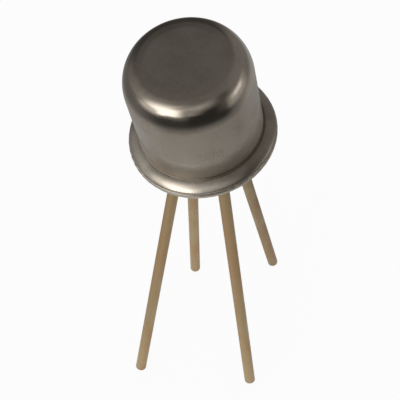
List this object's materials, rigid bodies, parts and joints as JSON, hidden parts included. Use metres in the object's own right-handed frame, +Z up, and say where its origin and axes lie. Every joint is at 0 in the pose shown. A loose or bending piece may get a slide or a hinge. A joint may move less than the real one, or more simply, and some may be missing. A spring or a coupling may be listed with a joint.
{
  "type": "dual-gate mosfet",
  "caption": "Small round metal-can transistor standing on bent wire leads: a drawn cap welded to a tabbed header, glass-sealed leads, and a chip with bond wires inside.",
  "frame": {"origin": "centre of the header's seating plane, on the case's axis", "axes": "+Z up from the surface that the feet stand on, along the part's height; the case leans 7.9 degrees towards 230 degrees from +X; -Y on the side of the first gate lead"},
  "size_m": [0.007, 0.0076, 0.0175],
  "materials": {
    "cap_metal": "satin nickel plate, slightly tarnished",
    "header_metal": "dull plated iron-nickel-cobalt alloy",
    "seal_glass": "dark fused sealing glass",
    "lead_plate": "dull worn gold flash",
    "die_solder": "gold-tin solder",
    "silicon": "polished silicon with bright bond pads",
    "gold_wire": "drawn gold"
  },
  "bodies": {
    "root": {"cap": "cap_metal", "header": "header_metal", "glass_seal": "seal_glass", "drain_lead": "lead_plate", "gate_2_lead": "lead_plate", "gate_1_lead": "lead_plate", "source_lead": "lead_plate", "die_attach": "die_solder", "mosfet_die": "silicon", "drain_wire": "gold_wire", "gate_2_wire": "gold_wire", "gate_1_wire": "gold_wire", "source_wire": "gold_wire"}
  },
  "joints": []
}
